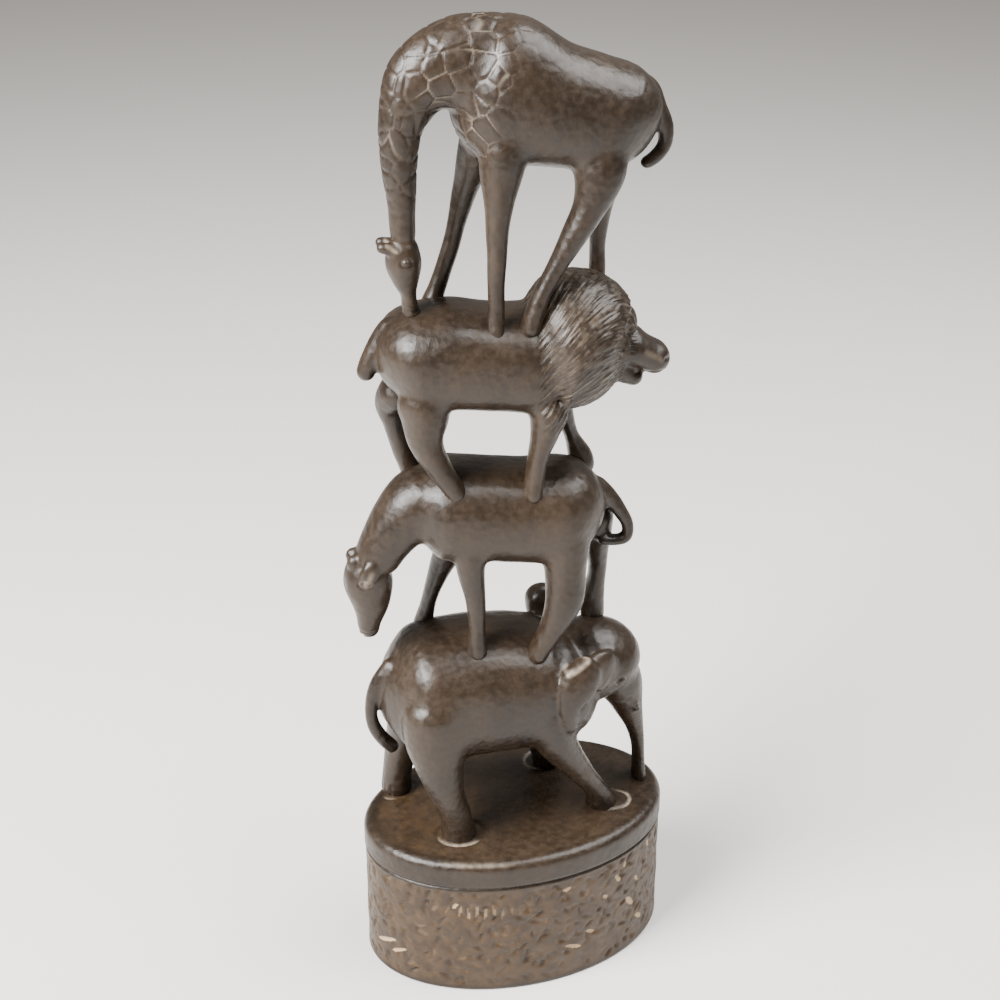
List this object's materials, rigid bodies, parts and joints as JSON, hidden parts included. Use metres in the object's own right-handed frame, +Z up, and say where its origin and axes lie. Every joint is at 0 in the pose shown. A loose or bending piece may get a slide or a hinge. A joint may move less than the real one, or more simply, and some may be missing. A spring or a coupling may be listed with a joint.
{
  "type": "animal stack sculpture",
  "caption": "Free-standing wood carving of an elephant, an antelope, a lion and a giraffe standing on one another's backs on a tall oval base with a gouged side.",
  "frame": {"origin": "centre of the base's flat underside", "axes": "+Z up the stack, +X along the base's length, the way the elephant and the lion face, +Y across it to the elephant's left"},
  "size_m": [0.204, 0.138, 0.6023],
  "materials": {
    "waxed_wood": "hand-carved and waxed dark wood, satin on the figures and matte on the gouged band"
  },
  "bodies": {
    "root": {"animal_stack_carving": "waxed_wood"}
  },
  "joints": []
}
